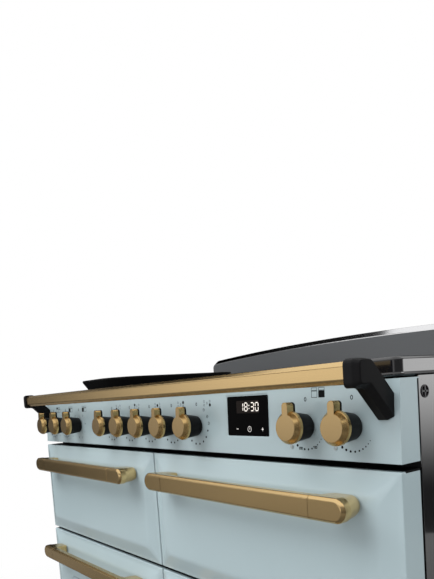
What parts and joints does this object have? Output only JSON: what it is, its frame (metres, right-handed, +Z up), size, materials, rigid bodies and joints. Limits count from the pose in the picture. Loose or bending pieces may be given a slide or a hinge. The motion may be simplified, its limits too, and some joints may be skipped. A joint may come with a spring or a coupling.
{
  "type": "induction range cooker",
  "caption": "Wide induction range cooker with a glide-out grill, a storage drawer, side-hinged ovens, lever knobs, a brass handrail, a rear upstand and a griddle plate.",
  "frame": {"origin": "on the floor, under the middle of the cooker's whole width and depth", "axes": "+X to the viewer's right along the front, +Y from the front to the rear, +Z up"},
  "size_m": [1.092, 0.66, 0.9949],
  "materials": {
    "enamel": "pale blue-grey gloss enamel with a fine orange peel",
    "black_gloss": "gloss black enamel",
    "black_satin": "satin black coating",
    "brass": "fine brushed brass, lacquered",
    "upstand_grey": "dark brushed steel with a polished top edge",
    "zinc_steel": "bare galvanised sheet",
    "cavity_enamel": "dark speckled vitreous enamel",
    "chrome_wire": "bright chromed wire",
    "black_glass": "black ceramic glass",
    "clock_glass": "black glass with lit digits",
    "window_glass": "dark tinted oven glass",
    "lens": "clear moulded lens",
    "seal_rubber": "grey silicone seal",
    "black_plastic": "matt black moulding",
    "switch_body": "pale phenolic moulding",
    "copper_coil": "enamelled copper litz on an aluminium carrier",
    "element_tube": "heat-darkened steel tube",
    "cast_black": "black enamelled cast iron",
    "motor_case": "plated motor case"
  },
  "bodies": {
    "cooker_body": {"base_tray": "zinc_steel", "levelling_feet": "black_plastic", "side_panels": "black_gloss", "shelf_ledges": "cavity_enamel", "rear_panel": "zinc_steel", "front_frame": "black_gloss", "plinth": "black_satin", "control_fascia": "enamel", "clock_panel": "clock_glass", "indicator_lenses": "lens", "control_switches": "switch_body", "hob_frame": "black_gloss", "hob_glass": "black_glass", "induction_coils": "copper_coil", "rear_upstand": "upstand_grey", "handrail": "brass", "rail_brackets": "black_satin", "side_plugs": "black_plastic", "mains_inlet": "black_plastic", "upper_liners": "cavity_enamel", "grill_element": "element_tube", "slide_runners": "zinc_steel", "oven_liners": "cavity_enamel", "oven_elements": "element_tube", "induction_generators": "zinc_steel", "oven_shelves": "chrome_wire", "fan_covers": "cavity_enamel", "fan_motors": "motor_case", "door_hinges": "zinc_steel"},
    "left_door": {"left_door_skin": "enamel", "left_door_panel": "black_satin", "left_door_window": "window_glass", "left_door_seal": "seal_rubber", "left_door_handle": "brass"},
    "right_door": {"right_door_skin": "enamel", "right_door_panel": "black_satin", "right_door_window": "window_glass", "right_door_seal": "seal_rubber", "right_door_handle": "brass"},
    "grill": {"grill_front": "enamel", "grill_backing": "black_satin", "grill_handle": "brass", "grill_pan": "cavity_enamel", "grill_trivet": "chrome_wire"},
    "drawer": {"drawer_front": "enamel", "drawer_box": "black_satin", "drawer_handle": "brass"},
    "griddle": {"griddle_plate": "cast_black"},
    "left_fan": {"left_oven_fan": "zinc_steel"},
    "right_fan": {"right_oven_fan": "zinc_steel"},
    "knob_1_body": {"knob_1": "brass"},
    "knob_2_body": {"knob_2": "brass"},
    "knob_3_body": {"knob_3": "brass"},
    "knob_4_body": {"knob_4": "brass"},
    "knob_5_body": {"knob_5": "brass"},
    "knob_6_body": {"knob_6": "brass"},
    "knob_7_body": {"knob_7": "brass"},
    "knob_8_body": {"knob_8": "brass"},
    "knob_9_body": {"knob_9": "brass"},
    "knob_10_body": {"knob_10": "brass"}
  },
  "joints": [
    {"name": "grill_slide", "type": "slide", "parent": "cooker_body", "child": "grill", "axis": [0, -1, 0], "range_m": [0, 0.33]},
    {"name": "drawer_slide", "type": "slide", "parent": "cooker_body", "child": "drawer", "axis": [0, -1, 0], "range_m": [0, 0.36]},
    {"name": "left_door_hinge", "type": "hinge", "parent": "cooker_body", "child": "left_door", "pos_m": [-0.533, -0.254, 0.3315], "axis": [0, 0, -1], "range_deg": [0, 105]},
    {"name": "right_door_hinge", "type": "hinge", "parent": "cooker_body", "child": "right_door", "pos_m": [0.533, -0.254, 0.3315], "axis": [0, 0, 1], "range_deg": [0, 105]},
    {"name": "griddle_lift", "type": "slide", "parent": "cooker_body", "child": "griddle", "axis": [0, 0, 1], "range_m": [0, 0.15]},
    {"name": "left_fan_spin", "type": "hinge", "parent": "cooker_body", "child": "left_fan", "pos_m": [-0.27375, 0.21, 0.3315], "axis": [0, 1, 0], "continuous": true},
    {"name": "right_fan_spin", "type": "hinge", "parent": "cooker_body", "child": "right_fan", "pos_m": [0.27375, 0.21, 0.3315], "axis": [0, 1, 0], "continuous": true},
    {"name": "knob_1_turn", "type": "hinge", "parent": "cooker_body", "child": "knob_1_body", "pos_m": [-0.492, -0.26834, 0.82467], "axis": [0, 0.9993, -0.0384], "range_deg": [0, 270]},
    {"name": "knob_2_turn", "type": "hinge", "parent": "cooker_body", "child": "knob_2_body", "pos_m": [-0.414, -0.26834, 0.82467], "axis": [0, 0.9993, -0.0384], "range_deg": [0, 270]},
    {"name": "knob_3_turn", "type": "hinge", "parent": "cooker_body", "child": "knob_3_body", "pos_m": [-0.336, -0.26834, 0.82467], "axis": [0, 0.9993, -0.0384], "range_deg": [0, 270]},
    {"name": "knob_4_turn", "type": "hinge", "parent": "cooker_body", "child": "knob_4_body", "pos_m": [-0.165, -0.26834, 0.82467], "axis": [0, 0.9993, -0.0384], "range_deg": [0, 290]},
    {"name": "knob_5_turn", "type": "hinge", "parent": "cooker_body", "child": "knob_5_body", "pos_m": [-0.087, -0.26834, 0.82467], "axis": [0, 0.9993, -0.0384], "range_deg": [0, 290]},
    {"name": "knob_6_turn", "type": "hinge", "parent": "cooker_body", "child": "knob_6_body", "pos_m": [-0.009, -0.26834, 0.82467], "axis": [0, 0.9993, -0.0384], "range_deg": [0, 290]},
    {"name": "knob_7_turn", "type": "hinge", "parent": "cooker_body", "child": "knob_7_body", "pos_m": [0.069, -0.26834, 0.82467], "axis": [0, 0.9993, -0.0384], "range_deg": [0, 290]},
    {"name": "knob_8_turn", "type": "hinge", "parent": "cooker_body", "child": "knob_8_body", "pos_m": [0.147, -0.26834, 0.82467], "axis": [0, 0.9993, -0.0384], "range_deg": [0, 290]},
    {"name": "knob_9_turn", "type": "hinge", "parent": "cooker_body", "child": "knob_9_body", "pos_m": [0.399, -0.26834, 0.82467], "axis": [0, 0.9993, -0.0384], "range_deg": [0, 270]},
    {"name": "knob_10_turn", "type": "hinge", "parent": "cooker_body", "child": "knob_10_body", "pos_m": [0.477, -0.26834, 0.82467], "axis": [0, 0.9993, -0.0384], "range_deg": [0, 270]}
  ]
}
